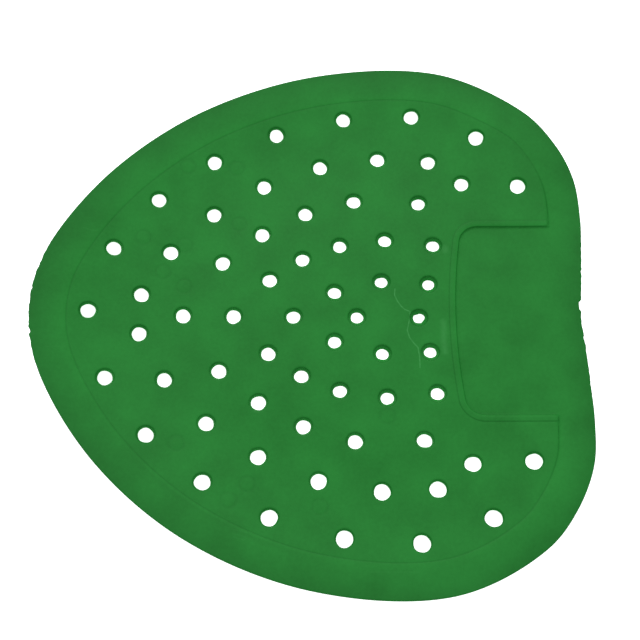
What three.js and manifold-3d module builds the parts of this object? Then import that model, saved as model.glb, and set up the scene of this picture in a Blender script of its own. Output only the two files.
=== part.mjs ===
// Drain screen mat: one sheet of soft moulded vinyl, resting on its flat middle, with the tip curling up.
// Millimetres, +Z up. The tip points to -X and the shallow pocket opens to +X.
import * as THREE from 'three';
import { mergeVertices } from 'three/addons/utils/BufferGeometryUtils.js';
import Module from 'manifold-3d';

const wasm = await Module();
wasm.setup();

// Driving sizes of the sheet
const matLength = 184;
const matWidth = 186.4;
const panelThickness = 2.0;
const rimThickness = 1.5;
const edgeThickness = 1.3;

// The rim round the raised panel, and the low ridge round the pocket
const rimWidth = 11.5;
const ridgeWidth = 2.2;
const ridgeRise = 0.3;

// The shallow pocket in the broad end
const pocketReach = 42.2;
const pocketWidth = 67;
const pocketCorner = 6.5;
const pocketBow = 1.9;

// The way the sheet curls up round its flat middle
const flatRadius = 48;
const curlCentreX = 13.5;
const tipLift = 10;
const dentLift = 1;

// The drain holes, which narrow downwards through the sheet, most of all close to the gate
const holeDiameter = 5.9;
const holeUnderDiameter = 4.9;
const gateUnderDiameter = 3.6;
const gateToPocket = 9;
const gateReach = 60;
const holeMargin = 1;

// How finely the round shapes are cut
const outlineSteps = 84;
const holeSides = 14;
const pocketSteps = 6;

// Half of the outline, as shares of the half length and half width, from the tip to the dent
const outlineShares = [
  [-1, 0], [-0.96, 0.21], [-0.757, 0.531], [-0.429, 0.802], [0.005, 0.969],
  [0.482, 0.983], [0.795, 0.831], [0.911, 0.697], [0.982, 0.539],
  [0.998, 0.386], [0.993, 0.235], [0.98, 0],
];

// Hole centres in the same shares, ring by ring from the outside in; those off the centre line are mirrored
const holeRings = [
  [[-0.8, 0], [-0.725, 0.245], [-0.572, 0.445], [-0.371, 0.606], [-0.14, 0.725],
    [0.115, 0.794], [0.376, 0.808], [0.622, 0.722], [0.772, 0.524]],
  [[-0.618, 0.074], [-0.52, 0.242], [-0.367, 0.397], [-0.183, 0.514],
    [0.027, 0.597], [0.245, 0.632], [0.437, 0.622], [0.561, 0.533]],
  [[-0.465, 0], [-0.329, 0.206], [-0.186, 0.32], [-0.027, 0.405], [0.154, 0.457], [0.396, 0.451]],
  [[-0.283, 0], [-0.155, 0.14], [-0.036, 0.222], [0.101, 0.276], [0.268, 0.3], [0.446, 0.282]],
  [[-0.067, 0], [0.082, 0.094], [0.253, 0.137], [0.425, 0.129]],
  [[0.163, 0], [0.387, 0]],
];

const halfLength = matLength / 2;
const halfWidth = matWidth / 2;
const dentX = outlineShares.at(-1)[0] * halfLength;
const pocketX = dentX - pocketReach;
const ridgeHeight = panelThickness + ridgeRise;

// A share of the half length and half width, as a point
function place([along, across]) {
  return new THREE.Vector2(along * halfLength, across * halfWidth);
}

// The whole outline, counterclockwise, at even steps along a curve through its points
function outlinePoints() {
  const near = outlineShares.map((share) => place([share[0], -share[1]]));
  const far = outlineShares.slice(1, -1).map((share) => place(share)).reverse();
  const knots = [...near, ...far].map((point) => new THREE.Vector3(point.x, point.y, 0));
  const curve = new THREE.CatmullRomCurve3(knots, true, 'centripetal');
  const points = curve.getSpacedPoints(outlineSteps).slice(0, -1);
  return points.map((point) => new THREE.Vector2(point.x, point.y));
}

// The outline moved in by a distance, square to itself
function inset(points, distance) {
  return points.map((point, index) => {
    const before = points.at(index - 1);
    const after = points[(index + 1) % points.length];
    const along = after.clone().sub(before).normalize();
    return new THREE.Vector2(point.x - along.y * distance, point.y + along.x * distance);
  });
}

// How far the underside is lifted at a point: nothing on the flat middle, then a growing curl
function curl(x, y) {
  const reach = Math.hypot(x - curlCentreX, y);
  const past = Math.max(0, reach - flatRadius);
  const tipRate = tipLift / (halfLength + curlCentreX - flatRadius) ** 2;
  const dentRate = dentLift / (dentX - curlCentreX - flatRadius) ** 2;
  const towardTip = reach > 0 ? (curlCentreX - x) / reach : 0;
  const rate = (tipRate + dentRate) / 2 + ((tipRate - dentRate) / 2) * towardTip;
  return rate * past * past;
}

// The direction that faces straight out of the curled sheet
function outward(x, y) {
  const step = 0.5;
  const slopeX = (curl(x + step, y) - curl(x - step, y)) / (2 * step);
  const slopeY = (curl(x, y + step) - curl(x, y - step)) / (2 * step);
  return new THREE.Vector3(-slopeX, -slopeY, 1).normalize();
}

// A closed geometry as a solid that can be joined and cut
function solid(geometry) {
  const bare = geometry.clone();
  bare.deleteAttribute('normal');
  bare.deleteAttribute('uv');
  const merged = mergeVertices(bare, 1e-4);
  return new wasm.Manifold(new wasm.Mesh({
    numProp: 3,
    vertProperties: new Float32Array(merged.attributes.position.array),
    triVerts: new Uint32Array(merged.index.array),
  }));
}

// A solid back as a geometry
function geometryOf(body) {
  const mesh = body.getMesh();
  const geometry = new THREE.BufferGeometry();
  geometry.setAttribute('position', new THREE.BufferAttribute(new Float32Array(mesh.vertProperties), 3));
  geometry.setIndex(new THREE.BufferAttribute(new Uint32Array(mesh.triVerts), 1));
  geometry.computeVertexNormals();
  return geometry;
}

// A sheet over the whole outline that follows the curl, thinner at the edge than inside the rim
function sheetLayer(edgeHeight, insideHeight) {
  const shares = [1, 0.88, 0.75, 0.62, 0.46, 0.25];
  const edge = outlinePoints();
  const foot = inset(edge, rimWidth);
  const rows = [edge, ...shares.map((share) => foot.map((point) => point.clone().multiplyScalar(share)))];
  const count = edge.length;
  const positions = [];
  const triangles = [];
  for (const side of ['under', 'top']) {
    rows.forEach((row, depth) => {
      const height = depth === 0 ? edgeHeight : insideHeight;
      for (const point of row) {
        positions.push(point.x, point.y, curl(point.x, point.y) + (side === 'top' ? height : 0));
      }
    });
    positions.push(0, 0, curl(0, 0) + (side === 'top' ? insideHeight : 0));
  }
  const sideSize = rows.length * count + 1;
  const quad = (a, b, c, d) => triangles.push(a, b, c, a, c, d);
  for (let index = 0; index < count; index += 1) {
    const next = (index + 1) % count;
    for (let row = 0; row < rows.length - 1; row += 1) {
      const outer = row * count;
      const inner = outer + count;
      quad(outer + index, inner + index, inner + next, outer + next);
      quad(sideSize + outer + index, sideSize + outer + next, sideSize + inner + next, sideSize + inner + index);
    }
    const last = (rows.length - 1) * count;
    const middle = rows.length * count;
    triangles.push(last + index, middle, last + next);
    triangles.push(sideSize + last + index, sideSize + last + next, sideSize + middle);
    quad(index, next, sideSize + next, sideSize + index);
  }
  const geometry = new THREE.BufferGeometry();
  geometry.setAttribute('position', new THREE.Float32BufferAttribute(positions, 3));
  geometry.setIndex(triangles);
  return solid(geometry);
}

// A tall upright block with the given plan, to trim a layer with
function prism(shape) {
  const below = panelThickness;
  const depth = below + tipLift + dentLift + matLength;
  const geometry = new THREE.ExtrudeGeometry(shape, { depth, bevelEnabled: false, curveSegments: pocketSteps });
  geometry.translate(0, 0, -below);
  return solid(geometry);
}

// The pocket's plan, open at the broad end, with its inner wall bowed; grown by a width on every side
function pocketShape(grown) {
  const wallX = pocketX + pocketBow - grown;
  const half = pocketWidth / 2 + grown;
  const corner = pocketCorner + grown;
  const mouthX = matLength;
  const shape = new THREE.Shape();
  shape.moveTo(mouthX, half);
  shape.lineTo(wallX + corner, half);
  shape.absarc(wallX + corner, half - corner, corner, Math.PI / 2, Math.PI, false);
  shape.quadraticCurveTo(wallX - 2 * pocketBow, 0, wallX, corner - half);
  shape.absarc(wallX + corner, corner - half, corner, Math.PI, 1.5 * Math.PI, false);
  shape.lineTo(mouthX, -half);
  return shape;
}

// The raised panel's plan: everything inside the rim, less the pocket grown by a width
function panelPlan(grown) {
  const outer = prism(new THREE.Shape(inset(outlinePoints(), rimWidth)));
  return outer.subtract(prism(pocketShape(grown)));
}

// Every hole centre, on both sides of the centre line
function holeCentres() {
  const centres = [];
  for (const share of holeRings.flat()) {
    const centre = place(share);
    centres.push(centre);
    if (share[1] > 0) centres.push(new THREE.Vector2(centre.x, -centre.y));
  }
  return centres;
}

// A hole's radius on the underside: narrow at the gate, full from gateReach on
function underRadius(centre) {
  const gate = new THREE.Vector2(pocketX - gateToPocket, 0);
  const share = Math.min(1, centre.distanceTo(gate) / gateReach);
  return (gateUnderDiameter + (holeUnderDiameter - gateUnderDiameter) * share) / 2;
}

// A hole is kept where it clears the rim and the ridge by the margin
function clearsRidge(centre, edge) {
  const clear = holeDiameter / 2 + holeMargin;
  const toEdge = Math.min(...edge.map((point) => point.distanceTo(centre)));
  const besidePocket = Math.abs(centre.y) - pocketWidth / 2 - ridgeWidth;
  const beforePocket = pocketX - ridgeWidth - centre.x;
  return toEdge > rimWidth + clear && Math.max(besidePocket, beforePocket) > clear;
}

// The tapered cutter for one hole, square to the curled sheet and standing out of it on both sides
function holeCutter(centre) {
  const proud = panelThickness / 2;
  const taper = (holeDiameter / 2 - underRadius(centre)) * (proud / panelThickness);
  const wide = holeDiameter / 2 + taper;
  const narrow = underRadius(centre) - taper;
  const pin = new THREE.CylinderGeometry(wide, narrow, panelThickness + 2 * proud, holeSides);
  const turn = new THREE.Quaternion().setFromUnitVectors(new THREE.Vector3(0, 1, 0), outward(centre.x, centre.y));
  pin.applyQuaternion(turn);
  pin.translate(centre.x, centre.y, curl(centre.x, centre.y) + panelThickness / 2);
  return solid(pin);
}

// The whole sheet: thin base, raised panel, ridge round the pocket, then the holes
function screenMat() {
  const wholePanel = panelPlan(0);
  const insidePanel = panelPlan(ridgeWidth);
  const base = sheetLayer(edgeThickness, rimThickness);
  const panel = sheetLayer(panelThickness, panelThickness).intersect(wholePanel);
  const ridge = sheetLayer(ridgeHeight, ridgeHeight).intersect(wholePanel.subtract(insidePanel));
  let body = base.add(panel).add(ridge);
  const edge = outlinePoints();
  for (const centre of holeCentres().filter((point) => clearsRidge(point, edge))) {
    body = body.subtract(holeCutter(centre));
  }
  return geometryOf(body);
}

const greenVinyl = new THREE.MeshStandardMaterial({ color: 0x2d7a35, roughness: 0.5, metalness: 0 });

const mat = new THREE.Mesh(screenMat(), greenVinyl);
mat.name = 'screen_mat';

const model = new THREE.Group();
model.add(mat);

export default model;
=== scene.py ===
# Drain screen mat: one sheet of soft green vinyl, lying on its flat middle with the tip curling up
import math
import bpy
import numpy as np
from mathutils import Matrix, Vector, noise
from mathutils.geometry import delaunay_2d_cdt


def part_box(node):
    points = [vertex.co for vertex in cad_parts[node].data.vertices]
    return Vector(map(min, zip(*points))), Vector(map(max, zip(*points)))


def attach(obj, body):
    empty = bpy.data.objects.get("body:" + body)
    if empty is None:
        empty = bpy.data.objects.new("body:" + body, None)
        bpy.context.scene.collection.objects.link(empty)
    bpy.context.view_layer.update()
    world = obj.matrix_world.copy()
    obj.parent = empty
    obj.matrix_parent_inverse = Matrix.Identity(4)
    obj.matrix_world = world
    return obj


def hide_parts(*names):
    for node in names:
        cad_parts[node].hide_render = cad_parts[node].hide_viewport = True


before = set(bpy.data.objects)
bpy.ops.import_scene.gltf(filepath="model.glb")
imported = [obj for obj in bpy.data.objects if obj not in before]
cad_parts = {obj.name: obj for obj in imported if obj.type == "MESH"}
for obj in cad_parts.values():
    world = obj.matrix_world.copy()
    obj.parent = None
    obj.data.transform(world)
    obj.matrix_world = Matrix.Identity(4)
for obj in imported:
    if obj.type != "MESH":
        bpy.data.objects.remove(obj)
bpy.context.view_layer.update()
mm = 0.001  # plans are drawn in millimetres, meshes are made in metres

matLow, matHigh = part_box("screen_mat")
print("frame loaded, the mat is %.1f mm long" % ((matHigh[0] - matLow[0]) / mm))

# the camera, set where the photograph was taken from
cameraView = {
    "place": (-1.07, -142.48, 374.23),  # from the middle of the mat
    "forward": (0.00947, 0.35487, -0.93487),
    "right": (0.99993, 0.00389, 0.01160),
    "focal": 1200 / 640,  # focal length over the picture's width
}


def makeCamera(view):
    data = bpy.data.cameras.new("photo_camera")
    data.sensor_width = 36
    data.lens = data.sensor_width * view["focal"]
    data.clip_start = 0.01
    camera = bpy.data.objects.new("photo_camera", data)
    bpy.context.scene.collection.objects.link(camera)
    forward = Vector(view["forward"]).normalized()
    right = Vector(view["right"]).normalized()
    turn = Matrix((right, right.cross(forward), -forward)).transposed()
    camera.matrix_world = Matrix.Translation(Vector(view["place"]) * mm) @ turn.to_4x4()
    bpy.context.scene.camera = camera


makeCamera(cameraView)
print("camera placed")

# the sheet, with the same plan as its solid
sheet = {
    "halfLength": 92, "halfWidth": 93.2,
    "outline": [(-1, 0), (-0.96, 0.21), (-0.757, 0.531), (-0.429, 0.802), (0.005, 0.969),
                (0.482, 0.983), (0.795, 0.831), (0.911, 0.697), (0.982, 0.539),
                (0.998, 0.386), (0.993, 0.235), (0.98, 0)],
    "edge": 1.3, "rim": 2.03, "panel": 2.0,  # thicknesses
    "rimWidth": 11.5, "rimStep": 0.9, "seamWidth": 0.4, "seamDepth": 0.05,
    "footShare": 0.7,  # how deep the foot of the ridge is beside the seam
    "topRound": 0.35, "underRound": 0.15,
    "flatRadius": 48, "curlCentre": 13.5, "tipLift": 10, "dentLift": 1,
    "wave": 0.05, "waveLength": 24,
}
pocket = {
    "reach": 42.2, "width": 67, "corner": 6.5, "bow": 1.9, "floor": 1.45, "wall": 0.45,
    "ridgeWidth": 2.2, "ridgeRise": 0.15, "ridgeFlank": 0.4,
    "blendAcross": (34, 64), "blendAlong": (30, 46),  # where the rim comes down to the pocket's floor
}

# drain holes ring by ring, as shares of the half length and half width
holes = {
    "rings": [
        [(-0.8, 0), (-0.725, 0.245), (-0.572, 0.445), (-0.371, 0.606), (-0.14, 0.725),
         (0.115, 0.794), (0.376, 0.808), (0.622, 0.722), (0.772, 0.524)],
        [(-0.618, 0.074), (-0.52, 0.242), (-0.367, 0.397), (-0.183, 0.514),
         (0.027, 0.597), (0.245, 0.632), (0.437, 0.622), (0.561, 0.533)],
        [(-0.465, 0), (-0.329, 0.206), (-0.186, 0.32), (-0.027, 0.405), (0.154, 0.457), (0.396, 0.451)],
        [(-0.283, 0), (-0.155, 0.14), (-0.036, 0.222), (0.101, 0.276), (0.268, 0.3), (0.446, 0.282)],
        [(-0.067, 0), (0.082, 0.094), (0.253, 0.137), (0.425, 0.129)],
        [(0.163, 0), (0.387, 0)],
    ],
    "wide": 5.9, "under": 4.75, "underGrowth": 0.75, "narrowest": (-20, 25), "growAway": (55, 115),
    "underAtGate": 3.5, "gateToPocket": 9, "gateReach": 60, "gateFall": 0.6,
    "waist": 1.0, "flare": 0.45,  # depth of the narrowest part and how much wider the hole is below it
    "lip": 0.5, "underLip": 0.12, "taperFade": 3, "sides": 32,
    "uneven": 0.01, "ragged": 0.035, "raggedAtGate": 0.1, "gateSpread": 12, "turnEach": 2.4,
    "squash": 0.13, "squashAway": (30, 75),
}

# where the edge is nicked: place, half width and depth, then where it is frayed: place, reach and depth
edgeWear = {
    "nicks": [((90.1, 4.9), 1.9, 0.9), ((90.0, -0.8), 3.8, 0.35), ((90.0, -6.9), 0.8, 0.3),
              ((91.0, 17.0), 0.8, 0.3), ((-91.6, 6.0), 0.8, 0.3), ((-91.2, -9.0), 1.1, 0.35)],
    "nickFade": (0.7, 1.1),
    "frays": [((90, 2), 34, 0.2), ((-91.5, 0), 24, 0.26)],
    "frayFade": 0.7, "grain": 1.3,
    "least": 0.04,  # what the whole edge has lost
}

# the broad end sits slightly askew: how far, and where that grows along the mat and to either side
askew = {"shift": 0.45, "along": (55, 88), "far": (42, 62), "near": (10, 35)}

# beside the pocket the seam of the rim is a little off its line
seamShift = {"far": 0.6, "near": -0.3, "along": (60, 80), "across": (28, 40)}

# faint rings that the mould left between the holes
mouldRings = {
    "places": [(-43.2, 54.4), (-25.1, 33.7), (-20.1, -56.9), (-42.9, -43.9), (24.7, -34.1),
               (-42.9, 10.5), (-57.3, 27.4), (-26.4, 54.6), (-50.1, 15.3), (-43.2, 25.4),
               (-25.8, -62.2), (2.9, -64)],
    "radius": 2.5, "width": 0.8, "depth": 0.04, "tone": 0.07, "sides": 24,
}

# how closely the mesh is laid out
rows = {
    "edgeStep": 0.85, "edgeDepths": [0.04, 0.12, 0.22, 0.35, 0.8, 1.6, 2.8, 4.4, 6.4, 8.6],
    "evenFrom": 0.8, "evenStep": 1.4,  # deeper rows leave out the wear of the edge
    "rimStep": 1.1, "rimDepths": [-1.3, -0.55, -0.25, -0.1, 0.0, 0.1, 0.25, 0.55, 1.3],
    "ridgeStep": 0.8,
    "ridgeDepths": [-0.9, -0.3, -0.15, 0.0, 0.15, 0.3, 1.1, 1.8, 2.0, 2.1, 2.2, 2.3, 2.4, 2.6, 3.3],
    "lipDepths": [0.0, 0.05, 0.15, 0.3, 0.5, 0.85, 1.4],
    "offLip": 0.85, "overlap": 1, "field": 2.3,
}

# how far the field keeps from the rows
clearOf = {
    "edge": 1.2, "edgeRows": 0.5, "lip": 2.2, "rim": 2.2,
    "wallIn": 1.8, "wallOut": 4.2, "mouldRing": 1.2,
}

dentX = sheet["outline"][-1][0] * sheet["halfLength"]
pocketX = dentX - pocket["reach"]
gate = np.array((pocketX - holes["gateToPocket"], 0))


def ease(value, low, high):
    share = np.clip((value - low) / (high - low), 0, 1)
    return share * share * (3 - 2 * share)


# closed curve through a few knots, tight where the knots are close
def curveThrough(knots, steps=40):
    points = []
    for index in range(len(knots)):
        before, start, end, after = (knots[(index + shift) % len(knots)] for shift in (-1, 0, 1, 2))
        gaps = [math.sqrt(np.linalg.norm(b - a)) for a, b in ((before, start), (start, end), (end, after))]
        leave = (start - before) / gaps[0] - (end - before) / (gaps[0] + gaps[1]) + (end - start) / gaps[1]
        arrive = (end - start) / gaps[1] - (after - start) / (gaps[1] + gaps[2]) + (after - end) / gaps[2]
        t = (np.arange(steps) / steps)[:, None]
        bend = (t ** 3 - 2 * t ** 2 + t) * leave * gaps[1] + (t ** 3 - t ** 2) * arrive * gaps[1]
        points.append(start + (3 * t ** 2 - 2 * t ** 3) * (end - start) + bend)
    return np.vstack(points)


def evenSteps(line, step):
    closed = np.vstack((line, line[:1]))
    along = np.concatenate(([0], np.cumsum(np.hypot(*np.diff(closed, axis=0).T))))
    count = round(along[-1] / step)
    places = np.arange(count) * along[-1] / count
    return np.column_stack([np.interp(places, along, closed[:, axis]) for axis in (0, 1)])


# square to a closed line, pointing inwards
def inwards(line):
    along = np.roll(line, -1, axis=0) - np.roll(line, 1, axis=0)
    along /= np.linalg.norm(along, axis=1)[:, None]
    return np.column_stack((-along[:, 1], along[:, 0]))


# distance to a closed line, negative outside it
def depthInside(line, points):
    closed = np.vstack((line, line[:1]))
    steps = np.diff(closed, axis=0)
    nearest = []
    for part in np.array_split(points, max(1, len(points) // 1500)):
        away = part[:, None] - line
        share = np.clip((away * steps).sum(2) / (steps ** 2).sum(1), 0, 1)
        nearest.append(np.linalg.norm(away - share[..., None] * steps, axis=2).min(1))
    inside = np.zeros(len(points), bool)
    for (x0, y0), (x1, y1) in zip(closed[:-1], closed[1:]):
        if y0 != y1:
            crossed = (y0 > points[:, 1]) != (y1 > points[:, 1])
            inside ^= crossed & (points[:, 0] < x0 + (points[:, 1] - y0) * (x1 - x0) / (y1 - y0))
    return np.concatenate(nearest) * np.where(inside, 1, -1)


def mirrored(half):
    return [(along, -across) for along, across in half] + list(reversed(half[1:-1]))


halves = np.array((sheet["halfLength"], sheet["halfWidth"]))
outline = curveThrough(np.array(mirrored(sheet["outline"])) * halves)


# a closed line shifted with the broad end
def lean(line):
    x, y = line.T
    sideways = ease(y, *askew["far"]) - ease(-y, *askew["near"])
    shift = askew["shift"] * ease(x, *askew["along"]) * sideways
    return line + np.column_stack((shift, np.zeros(len(line))))


# the edge as it is now, nicked and frayed at the tip and the broad end
def wornOutline():
    line = lean(evenSteps(outline, rows["edgeStep"]))
    cut = np.full(len(line), edgeWear["least"])
    for place, half, depth in edgeWear["nicks"]:
        away = np.linalg.norm(line - place, axis=1) / half
        cut = np.maximum(cut, depth * (1 - ease(away, *edgeWear["nickFade"])))
    for place, reach, depth in edgeWear["frays"]:
        near = 1 - ease(np.linalg.norm(line - place, axis=1), edgeWear["frayFade"] * reach, reach)
        rough = np.array([noise.noise(Vector((x, y, reach)) / edgeWear["grain"]) for x, y in line])
        cut += depth * near * np.clip(0.5 + rough, 0, 1)
    return line + inwards(line) * cut[:, None]


def pocketLine():
    wallX = pocketX + pocket["bow"]
    half, corner = pocket["width"] / 2, pocket["corner"]
    turn = np.linspace(math.pi / 2, math.pi, 10)
    bend = np.column_stack((wallX + corner + corner * np.cos(turn), half - corner + corner * np.sin(turn)))
    t = np.linspace(0, 1, 22)[1:-1]
    wall = np.column_stack((wallX - 4 * pocket["bow"] * t * (1 - t), (half - corner) * (1 - 2 * t)))
    below = bend[::-1] * (1, -1)
    mouth = 2 * sheet["halfLength"]
    return np.vstack(([(mouth, half)], bend, wall, below, [(mouth, -half)]))


edgeLine = wornOutline()
pocketEdge = pocketLine()


# the seam where the rim meets the panel
def rimSeam():
    line = lean(evenSteps(outline, rows["rimStep"]))
    x, y = line.T
    far, near = ease(y, *seamShift["across"]), ease(-y, *seamShift["across"])
    shift = ease(x, *seamShift["along"]) * (seamShift["far"] * far + seamShift["near"] * near)
    return line + inwards(line) * (sheet["rimWidth"] - shift)[:, None]


seamLine = rimSeam()


# how far a point is inside the rim, and how far it is from the pocket
def rimDepth(points):
    return depthInside(seamLine, points)


def pocketDepth(points):
    return -depthInside(pocketEdge, points)


# each hole as its centre, its radius at the narrowest, how ragged it is there, a turn and how flattened
def holeList():
    found = []
    for share in sum(holes["rings"], []):
        for side in ((1, -1) if share[1] else (1,)):
            centre = np.array(share) * halves * (1, side)
            away = np.linalg.norm(centre - holes["narrowest"])
            under = holes["under"] + holes["underGrowth"] * ease(away, *holes["growAway"])
            toGate = np.linalg.norm(centre - gate)
            toFull = min(1, toGate / holes["gateReach"]) ** holes["gateFall"]
            under -= (under - holes["underAtGate"]) * (1 - toFull)
            ragged = holes["raggedAtGate"] if toGate < holes["gateSpread"] else holes["ragged"]
            squash = holes["squash"] * (1 - ease(toGate, *holes["squashAway"]))
            found.append((centre, under / 2, ragged, len(found) * holes["turnEach"], squash))
    return found


holeSet = holeList()
holeMiddles = np.array([hole[0] for hole in holeSet])


def holeRadius(index, angle):
    return holes["wide"] / 2 * (1 + holes["uneven"] * np.sin(2 * angle + holeSet[index][3]))


def waistRadius(index, angle):
    radius, ragged, turn, squash = holeSet[index][1:]
    wobble = np.sin(2 * angle + turn) + 0.8 * np.sin(3 * angle - turn) + 0.6 * np.sin(5 * angle + 2 * turn)
    return radius * (1 + ragged * wobble / 1.6) * (1 - squash * np.sin(angle) ** 2)


# distance from the nearest hole's wall, the way to its middle and how far it narrows
def nearHole(points):
    nearest = np.linalg.norm(points[:, None] - holeMiddles, axis=2).argmin(1)
    depths, taper = np.zeros(len(points)), np.zeros(len(points))
    inward = np.zeros((len(points), 2))
    for index in range(len(holeSet)):
        chosen = nearest == index
        away = points[chosen] - holeMiddles[index]
        angle = np.arctan2(away[:, 1], away[:, 0])
        wide = holeRadius(index, angle)
        depths[chosen] = np.linalg.norm(away, axis=1) - wide
        taper[chosen] = wide - waistRadius(index, angle)
        inward[chosen] = -np.column_stack((np.cos(angle), np.sin(angle)))
    return depths, inward, taper


def lipDepth(points):
    return nearHole(points)[0]


def evenAngles(count):
    return np.arange(count) * 2 * math.pi / count


def ring(centre, radius, count):
    angles = evenAngles(count)
    return centre + np.column_stack((np.cos(angles), np.sin(angles))) * np.reshape(radius, (-1, 1))


# rows of points that follow the edge, the rim's seam and the pocket's ridge
def planRows():
    found = []
    for depth in rows["edgeDepths"]:
        line = edgeLine if depth < rows["evenFrom"] else evenSteps(outline, rows["evenStep"])
        row = line + inwards(line) * depth
        found.append(row[depthInside(edgeLine, row) > 0.8 * depth])
    for depth in rows["rimDepths"]:
        row = seamLine + inwards(seamLine) * depth
        found.append(row[(lipDepth(row) > rows["offLip"]) & (pocketDepth(row) > -rows["overlap"])])
    side = evenSteps(pocketEdge, rows["ridgeStep"])
    for depth in rows["ridgeDepths"]:
        row = side - inwards(side) * depth
        onRow = abs(pocketDepth(row) - depth) < 0.02  # drops what folds over at the corners
        found.append(row[onRow & (lipDepth(row) > rows["offLip"]) & (rimDepth(row) > -rows["overlap"])])
    return found


# staggered points between the rows
def fieldPoints():
    step = rows["field"]
    across = np.arange(-sheet["halfWidth"], sheet["halfWidth"], step * 0.866)
    along = np.arange(-sheet["halfLength"], sheet["halfLength"], step)
    field = np.array([(x + step / 2 * (number % 2), y) for number, y in enumerate(across) for x in along])
    rim, wall, edge = rimDepth(field), pocketDepth(field), depthInside(edgeLine, field)
    inPocket = wall < -clearOf["wallIn"]
    clear = (lipDepth(field) > clearOf["lip"]) & (edge > clearOf["edge"])
    clear &= (abs(rim) > clearOf["rim"]) | inPocket
    clear &= inPocket | (wall > clearOf["wallOut"]) | (rim < -clearOf["wallIn"])
    evenRows = np.array([depth for depth in rows["edgeDepths"] if depth >= rows["evenFrom"]])
    clear &= abs(edge[:, None] - evenRows).min(1) > clearOf["edgeRows"]
    for place in mouldRings["places"]:
        off = abs(np.linalg.norm(field - place, axis=1) - mouldRings["radius"])
        clear &= off > clearOf["mouldRing"]
    return field[clear]


# every point of the plan: the edge loop and the hole loops, then all that lies inside them
def planPoints():
    loops = [edgeLine]
    inner = planRows()
    angles = evenAngles(holes["sides"])
    for index, (centre, *_) in enumerate(holeSet):
        for depth in rows["lipDepths"]:
            points = ring(centre, holeRadius(index, angles) + depth, holes["sides"])
            (inner if depth else loops).append(points)
    for place in mouldRings["places"]:
        for shift in (-1, -0.5, 0, 0.5, 1):
            radius = mouldRings["radius"] + shift * mouldRings["width"]
            points = ring(np.array(place), radius, mouldRings["sides"])
            inner.append(points[lipDepth(points) > rows["offLip"]])
    return loops, inner + [fieldPoints()]


# underside height: flat in the middle, lifting round it and most of all at the tip
def curl(points):
    x, y = points.T
    reach = np.hypot(x - sheet["curlCentre"], y)
    past = np.maximum(0, reach - sheet["flatRadius"])
    tipRate = sheet["tipLift"] / (sheet["halfLength"] + sheet["curlCentre"] - sheet["flatRadius"]) ** 2
    dentRate = sheet["dentLift"] / (dentX - sheet["curlCentre"] - sheet["flatRadius"]) ** 2
    towardTip = (sheet["curlCentre"] - x) / np.maximum(reach, 1)
    return ((tipRate + dentRate) / 2 + (tipRate - dentRate) / 2 * towardTip) * past ** 2


def slopes(points):
    step = 0.5
    return np.column_stack([(curl(points + shift) - curl(points - shift)) / (2 * step)
                            for shift in np.array(((step, 0), (0, step)))])


def rounding(depth, radius):
    short = np.clip(radius - depth, 0, radius)
    return radius - np.sqrt(radius ** 2 - short ** 2)


# one on the seam and on the foot of the ridge, and nothing beside them
def seamShares(rim, wall):
    seam = (1 - ease(abs(rim), 0, sheet["seamWidth"])) * ease(wall, 0, 1)
    foot = (1 - ease(abs(wall - pocket["ridgeWidth"]), 0, sheet["seamWidth"])) * ease(rim, 0, 1)
    return seam, foot


def mouldRingShare(points):
    share = np.zeros(len(points))
    for place in mouldRings["places"]:
        off = abs(np.linalg.norm(points - place, axis=1) - mouldRings["radius"])
        share += 1 - ease(off, 0, mouldRings["width"])
    return share


# thickness of the sheet before its edges are rounded
def thickness(points, edge):
    rim, wall = rimDepth(points), pocketDepth(points)
    x, y = points.T
    byPocket = (1 - ease(abs(y), *pocket["blendAcross"])) * ease(x, *pocket["blendAlong"])
    rimTop = sheet["rim"] + (pocket["floor"] - sheet["rim"]) * byPocket
    inRim = np.clip(edge / sheet["rimWidth"], 0, 1)
    low = sheet["edge"] + (rimTop - sheet["edge"]) * np.sin(inRim * math.pi / 2)
    flank = pocket["ridgeFlank"] / 2
    high = sheet["panel"] + pocket["ridgeRise"] * (1 - ease(wall - pocket["ridgeWidth"], -flank, flank))
    step, side = sheet["rimStep"] / 2, pocket["wall"] / 2
    raised = ease(rim, -step, step) * ease(wall, -side, side)
    seam, foot = seamShares(rim, wall)
    sunk = sheet["seamDepth"] * np.maximum(seam, sheet["footShare"] * foot)
    return low + (high - low) * raised - sunk - mouldRings["depth"] * mouldRingShare(points)


def wave(points):
    length = sheet["waveLength"]
    rough = np.array([noise.noise(Vector((x, y, 7)) / length) for x, y in points])
    return sheet["wave"] * np.clip(0.5 + rough, 0, 1)


# tone scales the vinyl's colour: darker towards the edge and on the rim, painted shade along the seams and
# round the holes, paler just outside the panel, a painted highlight along the top of the pocket's wall and
# painted light on the walls of the holes
toneLook = {
    "edge": 0.08, "edgeWidth": 4, "rim": 0.1, "rimFade": (2, 9), "lip": 0.04, "lipWidth": 0.8, "seam": 0.14,
    "besideSeam": 0.06, "seamReach": 4, "offPocket": 6,
    "wallTopHighlight": 0.06, "wallTopAt": 0.5, "wallTopFade": (0.2, 0.5),
    "waist": 1.8, "plainFrom": 6,  # painted light on the walls of the holes, and the underside has none of the tone
}

# a faint second line of painted shade outside the seam, with no groove under it, at the side of the tip
# that is nearest the camera
secondSeamShade = {"tone": 0.08, "out": 1.25, "width": 0.5, "across": (45, 55), "along": (-10, 5)}


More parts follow.
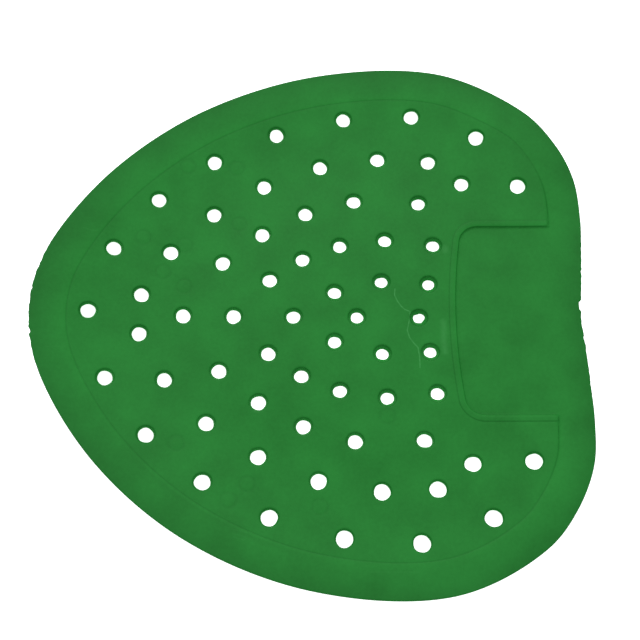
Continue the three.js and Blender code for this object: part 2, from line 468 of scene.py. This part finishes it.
def tone(points, edge, lip):
    look = toneLook
    rim, wall = rimDepth(points), pocketDepth(points)
    x, y = points.T
    dark = look["edge"] * (1 - ease(edge, 0, look["edgeWidth"]))
    dark += look["rim"] * (1 - ease(edge, *look["rimFade"]))
    # painted shade round the rounded lips of the holes
    dark += look["lip"] * (1 - ease(lip, 0, look["lipWidth"]))
    # painted shade along the seam of the rim and the foot of the pocket's ridge, deeper than their shallow
    # groove gives
    dark += look["seam"] * np.maximum(*seamShares(rim, wall))
    # painted shade: a thin dark line outside the seam
    second = 1 - ease(abs(rim + secondSeamShade["out"]), 0, secondSeamShade["width"])
    second *= ease(-y, *secondSeamShade["across"]) * (1 - ease(x, *secondSeamShade["along"]))
    dark += secondSeamShade["tone"] * second
    dark += mouldRings["tone"] * mouldRingShare(points)
    outside = ease(rim, -look["seamReach"], 0) * (rim < 0)
    pale = look["besideSeam"] * outside * ease(wall, 0, look["offPocket"])
    # painted highlight along the top of the pocket's wall
    wallTopHighlight = 1 - ease(abs(wall - look["wallTopAt"]), *look["wallTopFade"])
    pale += look["wallTopHighlight"] * wallTopHighlight * ease(rim, 0, 1)
    return 1 - dark + pale


# the plan as a flat mesh with its holes open
def planMesh():
    loops, inner = planPoints()
    edges, count = [], 0
    for loop in loops:
        edges += [(count + index, count + (index + 1) % len(loop)) for index in range(len(loop))]
        count += len(loop)
    points = np.vstack(loops + inner + [holeMiddles])
    print("plan laid out, %d points" % len(points))
    corners = [Vector(point) for point in points]
    found, _, faces, origins, _, _ = delaunay_2d_cdt(corners, edges, [], 1, 1e-4)
    firstMiddle = len(points) - len(holeMiddles)
    middles = {index for index, origin in enumerate(origins) if max(origin, default=0) >= firstMiddle}
    faces = [tuple(face) for face in faces if not middles & set(face)]
    used = sorted({index for face in faces for index in face})
    place = {index: number for number, index in enumerate(used)}
    faces = [tuple(place[index] for index in face) for face in faces]
    return np.array([found[index] for index in used]), faces


def sheetMesh():
    plan, faces = planMesh()
    edge = np.maximum(depthInside(edgeLine, plan), 0)
    lip, inward, taper = nearHole(plan)
    lip = np.maximum(lip, 0)
    opening = np.maximum(taper - holes["flare"], 0) * (1 - ease(lip, 0, holes["taperFade"]))
    slope = slopes(plan)
    tall = thickness(plan, edge)
    top = tall - np.maximum(rounding(edge, sheet["topRound"]), rounding(lip, holes["lip"]))
    under = np.maximum(rounding(edge, sheet["underRound"]), rounding(lip, holes["underLip"]))
    square = ease(edge, 0, sheet["rimWidth"])  # the walls of the holes stand square to the curl
    lift = wave(plan)
    sides = []
    for height, shift in ((under, opening), (top, 0 * taper), (tall - holes["waist"], taper)):
        moved = plan + inward * shift[:, None] - slope * (square * (height - sheet["panel"] / 2))[:, None]
        sides.append(np.column_stack((moved, curl(moved) + height + lift)))

    # open sides of the plan become walls, and the walls of the holes have a ring at the waist
    count = len(plan)
    steps = dict.fromkeys(pair for a, b, c in faces for pair in ((a, b), (b, c), (c, a)))
    borders = [(a, b) for a, b in steps if (b, a) not in steps]
    ringed = sorted({a for a, b in borders if edge[a] > 5})  # the holes all lie deeper than the edge loop
    waist = {index: 2 * count + number for number, index in enumerate(ringed)}
    walls = []
    for a, b in borders:
        if a in waist:
            walls += [(a, b, waist[b], waist[a]), (waist[a], waist[b], b + count, a + count)]
        else:
            walls.append((a, b, b + count, a + count))
    underFaces = [face[::-1] for face in faces]
    topFaces = [tuple(index + count for index in face) for face in faces]
    tones = tone(plan, edge, lip)
    plain = tones + (1 - tones) * ease(edge, 0, toneLook["plainFrom"])
    # the waist ring of each hole gets painted light, which pales its walls
    tones = np.concatenate((plain, tones, np.full(len(ringed), toneLook["waist"])))
    return np.vstack((sides[0], sides[1], sides[2][ringed])) * mm, underFaces + topFaces + walls, tones


def addMesh(name, points, faces, material):
    mesh = bpy.data.meshes.new(name)
    mesh.from_pydata([tuple(point) for point in points], [], faces)
    mesh.validate()
    mesh.polygons.foreach_set("use_smooth", [True] * len(mesh.polygons))
    mesh.materials.append(material)
    piece = bpy.data.objects.new(name, mesh)
    bpy.context.scene.collection.objects.link(piece)
    return piece


# marks of use on the face: a pale scratch, scuffs by the pocket and fainter lines
marks = {
    "scratch": {"lines": [[(27.8, 10.2), (27.6, 8.0), (28.6, 5.7), (29.8, 3.9), (31.0, 2.8), (32.7, 2.1),
                           (32.4, -0.9), (31.6, -4.5), (32.3, -7.1), (33.7, -9.1), (35.0, -10.6),
                           (35.5, -14.1), (35.5, -17.5)]],
                "width": 0.32, "soft": 0.25, "strength": 0.26, "broken": 0.55},
    "scuff": {"lines": [[(43.6, -1.5), (43.8, -4.4), (43.5, -7.9), (43.9, -12)],
                        [(45.1, 24.4), (45.1, 25.4)]],
              "width": 1.6, "soft": 1.9, "strength": 0.1, "broken": 0.7},
    "faint": {"lines": [[(-77.2, 28.9), (-72.7, 28.1)], [(-85.6, -14), (-79.6, -13.3)],
                        [(18.3, -84.4), (33.5, -84.3)], [(-24.1, -71.5), (-19.7, -72.5)],
                        [(-24, -72.8), (-20, -73.9)], [(-23.7, -74), (-20.3, -74.9)]],
              "width": 0.4, "soft": 0.35, "strength": 0.025, "broken": 0.5},
}

vinylLook = {
    "dark": (0.0105, 0.128, 0.0175, 1), "light": (0.0148, 0.163, 0.0242, 1), "pale": (0.11, 0.42, 0.14, 1),
    "mottle": 70, "grain": 900, "grainShare": 0.35, "spread": (0.45, 0.9),
    "patches": 0.9,  # where the marks are broken
    "smoothest": 0.42, "roughest": 0.52, "sheen": 0.06,
    "pits": 2600, "pitDepth": 0.1, "bump": 0.12,
}


def addNode(tree, kind, **settings):
    node = tree.nodes.new(kind)
    for name, value in settings.items():
        setattr(node, name, value)
    return node


def feed(tree, node, *inputs):
    for number, value in enumerate(inputs):
        if isinstance(value, bpy.types.NodeSocket):
            tree.links.new(value, node.inputs[number])
        elif value is not None:
            node.inputs[number].default_value = value
    return node


# mask that is one on a line between two points of the plan and fades at its sides
def lineMask(tree, place, start, end, width, soft):
    start, end = Vector((*start, 0)), Vector((*end, 0))
    along = end - start
    away = feed(tree, addNode(tree, "ShaderNodeVectorMath", operation="SUBTRACT"), place, start)
    dot = addNode(tree, "ShaderNodeVectorMath", operation="DOT_PRODUCT")
    feed(tree, dot, away.outputs[0], along / along.length_squared)
    share = feed(tree, addNode(tree, "ShaderNodeClamp"), dot.outputs["Value"], 0.0, 1.0)
    reach = addNode(tree, "ShaderNodeVectorMath", operation="SCALE")
    reach.inputs[0].default_value = along
    tree.links.new(share.outputs[0], reach.inputs["Scale"])
    off = addNode(tree, "ShaderNodeVectorMath", operation="DISTANCE")
    feed(tree, off, away.outputs[0], reach.outputs[0])
    fade = addNode(tree, "ShaderNodeMapRange", interpolation_type="SMOOTHSTEP")
    low = max(0.0, width / 2 - soft / 2)
    return feed(tree, fade, off.outputs["Value"], low, width / 2 + soft / 2, 1.0, 0.0).outputs[0]


def noiseNode(tree, place, scale, detail, rough=0.5):
    node = addNode(tree, "ShaderNodeTexNoise")
    tree.links.new(place, node.inputs["Vector"])
    node.inputs["Scale"].default_value = scale
    node.inputs["Detail"].default_value = detail
    node.inputs["Roughness"].default_value = rough
    return node.outputs[0]


# one on the face of the sheet, nothing on the walls of the holes and the underside
def faceMask(tree):
    facing = addNode(tree, "ShaderNodeNewGeometry")
    turned = addNode(tree, "ShaderNodeVectorTransform", vector_type="NORMAL", convert_to="OBJECT")
    turned.convert_from = "WORLD"
    tree.links.new(facing.outputs["True Normal"], turned.inputs[0])
    upright = feed(tree, addNode(tree, "ShaderNodeSeparateXYZ"), turned.outputs[0])
    mask = addNode(tree, "ShaderNodeMapRange")
    return feed(tree, mask, upright.outputs["Z"], 0.5, 0.95, 0.0, 1.0).outputs[0]


def times(tree, first, second):
    return feed(tree, addNode(tree, "ShaderNodeMath", operation="MULTIPLY"), first, second).outputs[0]


# how strongly a mark shows at a place, all its lines together
def markShare(tree, plan, patchy, mark):
    total = None
    for line in mark["lines"]:
        for start, end in zip(line, line[1:]):
            mask = lineMask(tree, plan, start, end, mark["width"], mark["soft"])
            if total is not None:
                larger = addNode(tree, "ShaderNodeMath", operation="MAXIMUM")
                mask = feed(tree, larger, total, mask).outputs[0]
            total = mask
    broken = feed(tree, addNode(tree, "ShaderNodeMapRange"), patchy, 0.35, 0.6, mark["broken"], 1.0)
    return times(tree, times(tree, total, broken.outputs[0]), mark["strength"])


def vinylMaterial(look):
    material = bpy.data.materials.new("green_vinyl")
    material.use_nodes = True
    tree = material.node_tree
    shader = tree.nodes["Principled BSDF"]
    place = addNode(tree, "ShaderNodeTexCoord").outputs["Object"]
    plan = addNode(tree, "ShaderNodeVectorMath", operation="MULTIPLY")
    plan = feed(tree, plan, place, (1 / mm, 1 / mm, 0)).outputs[0]
    face = faceMask(tree)

    mottle = noiseNode(tree, place, look["mottle"], 3)
    grain = noiseNode(tree, place, look["grain"], 2)
    both = addNode(tree, "ShaderNodeMath", operation="MULTIPLY_ADD")
    feed(tree, both, grain, look["grainShare"], mottle)
    spread = feed(tree, addNode(tree, "ShaderNodeMapRange"), both.outputs[0], *look["spread"], 0.0, 1.0)
    colour = addNode(tree, "ShaderNodeMix", data_type="RGBA")
    tree.links.new(spread.outputs[0], colour.inputs[0])
    colour.inputs["A"].default_value = look["dark"]
    colour.inputs["B"].default_value = look["light"]
    colour = colour.outputs["Result"]

    patchy = noiseNode(tree, plan, look["patches"], 3)
    for mark in marks.values():
        mix = addNode(tree, "ShaderNodeMix", data_type="RGBA")
        tree.links.new(times(tree, markShare(tree, plan, patchy, mark), face), mix.inputs[0])
        tree.links.new(colour, mix.inputs["A"])
        mix.inputs["B"].default_value = look["pale"]
        colour = mix.outputs["Result"]
    # the tone attribute scales the colour: painted shade along the seams and round the holes, a painted
    # highlight by the pocket and painted light on the walls of the holes, besides the darker edge and rim
    # and the paler band outside the panel
    shade = addNode(tree, "ShaderNodeAttribute", attribute_name="tone")
    toned = addNode(tree, "ShaderNodeVectorMath", operation="SCALE")
    tree.links.new(colour, toned.inputs[0])
    tree.links.new(shade.outputs["Fac"], toned.inputs["Scale"])
    tree.links.new(toned.outputs[0], shader.inputs["Base Color"])

    dull = addNode(tree, "ShaderNodeMapRange")
    feed(tree, dull, mottle, 0.3, 0.7, look["smoothest"], look["roughest"])
    tree.links.new(dull.outputs[0], shader.inputs["Roughness"])
    tree.links.new(times(tree, face, look["sheen"]), shader.inputs["Specular IOR Level"])
    bump = addNode(tree, "ShaderNodeBump")
    bump.inputs["Strength"].default_value = look["bump"]
    bump.inputs["Distance"].default_value = look["pitDepth"] * mm
    pits = noiseNode(tree, place, look["pits"], 3, 0.6)
    tree.links.new(pits, bump.inputs["Height"])
    tree.links.new(bump.outputs[0], shader.inputs["Normal"])
    return material


vinyl = vinylMaterial(vinylLook)
points, faces, tones = sheetMesh()
mat = addMesh("vinyl_sheet", points, faces, vinyl)
# tone carries painted shade and painted light as well as the darker edge and rim
mat.data.attributes.new("tone", "FLOAT", "POINT").data.foreach_set("value", tones)
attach(mat, "root")
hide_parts("screen_mat")
print("sheet made, %d faces" % len(faces))

# white studio floor that lights the holes from below
floorLook = {
    "size": 3, "drop": 0.05 * mm, "cloud": 2, "roughness": 0.9, "glow": 1.0,
    "colour": (0.9, 0.9, 0.9, 1), "cool": (0.86, 0.87, 0.88, 1),
}


def makeFloor(look):
    material = bpy.data.materials.new("studio_floor")
    material.use_nodes = True
    tree = material.node_tree
    shader = tree.nodes["Principled BSDF"]
    place = addNode(tree, "ShaderNodeTexCoord").outputs["Object"]
    cloud = noiseNode(tree, place, look["cloud"], 2)
    colour = addNode(tree, "ShaderNodeMix", data_type="RGBA")
    tree.links.new(cloud, colour.inputs[0])
    colour.inputs["A"].default_value = look["colour"]
    colour.inputs["B"].default_value = look["cool"]
    tree.links.new(colour.outputs["Result"], shader.inputs["Base Color"])
    tree.links.new(colour.outputs["Result"], shader.inputs["Emission Color"])
    shader.inputs["Emission Strength"].default_value = look["glow"]
    shader.inputs["Roughness"].default_value = look["roughness"]
    half, z = look["size"] / 2, -look["drop"]
    corners = [(-half, -half, z), (half, -half, z), (half, half, z), (-half, half, z)]
    return addMesh("studio_floor", corners, [(0, 1, 2, 3)], material)


makeFloor(floorLook)

# soft light from behind and above, a weaker one from the camera's side
lights = {
    "back_light": {"place": (-0.1, 0.75, 0.85), "size": 0.9, "power": 10},
    "front_light": {"place": (0.2, -0.8, 0.9), "size": 1.2, "power": 3},
}


def addLight(name, look):
    data = bpy.data.lights.new(name, "AREA")
    data.size = look["size"]
    data.energy = look["power"]
    lamp = bpy.data.objects.new(name, data)
    bpy.context.scene.collection.objects.link(lamp)
    aim = (-Vector(look["place"])).to_track_quat("-Z", "Y")
    lamp.matrix_world = Matrix.Translation(look["place"]) @ aim.to_matrix().to_4x4()


for name, look in lights.items():
    addLight(name, look)

sky = {"colour": (0.95, 0.97, 1, 1), "strength": 0.75}
world = bpy.data.worlds.new("studio")
world.use_nodes = True
background = world.node_tree.nodes["Background"].inputs
background["Color"].default_value = sky["colour"]
background["Strength"].default_value = sky["strength"]
bpy.context.scene.world = world
bpy.context.scene.view_settings.view_transform = "Standard"
print("stage lit")
